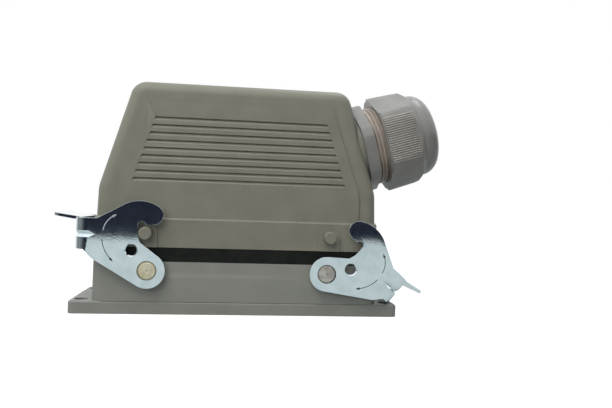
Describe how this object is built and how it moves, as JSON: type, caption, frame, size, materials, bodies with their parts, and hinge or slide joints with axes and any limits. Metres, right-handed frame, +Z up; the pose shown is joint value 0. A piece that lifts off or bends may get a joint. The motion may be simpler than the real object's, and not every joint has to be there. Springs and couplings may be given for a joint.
{
  "type": "heavy duty rectangular connector",
  "caption": "Rectangular industrial power connector: die-cast hood with slanted cable gland on a bulkhead base, held by two hinged locking levers.",
  "frame": {"origin": "centre of the base flange's underside, on the panel face", "axes": "+X along the connector towards the cable gland, +Y through its depth away from the front, +Z up out of the panel"},
  "size_m": [0.1693, 0.0534, 0.1015],
  "materials": {
    "housing": "satin powder coat",
    "seal": "matte",
    "pin_metal": "satin",
    "lever_zinc": "bright zinc",
    "insert": "matte",
    "contact": "plated",
    "screw": "zinc",
    "gland": "satin moulded"
  },
  "bodies": {
    "base": {"base_housing": "housing", "flange_gasket": "seal", "housing_seal": "seal", "lever_pivot_pins": "pin_metal", "female_insert": "insert", "female_contacts": "contact", "female_terminal_screws": "screw", "female_ground_plates": "screw", "female_ground_screws": "screw", "female_insert_screws": "screw", "hood": "housing", "male_insert": "insert", "male_contacts": "contact", "male_terminal_screws": "screw", "male_ground_plates": "screw", "male_ground_screws": "screw", "male_insert_screws": "screw", "gland_body": "gland", "gland_washer": "seal", "gland_seal": "seal"},
    "left_lever": {"left_lever": "lever_zinc"},
    "right_lever": {"right_lever": "lever_zinc"},
    "gland_nut": {"gland_nut": "gland"}
  },
  "joints": [
    {"name": "left_lever_hinge", "type": "hinge", "parent": "base", "child": "left_lever", "pos_m": [-0.0376, 0, 0.01845], "axis": [0, 1, 0], "range_deg": [-40, 0]},
    {"name": "right_lever_hinge", "type": "hinge", "parent": "base", "child": "right_lever", "pos_m": [0.0376, 0, 0.01845], "axis": [0, 1, 0], "range_deg": [-40, 0]},
    {"name": "gland_nut_turn", "type": "hinge", "parent": "base", "child": "gland_nut", "pos_m": [0.05325, 0, 0.0739], "axis": [0.9588, 0, 0.284], "range_deg": [-360, 360]}
  ]
}
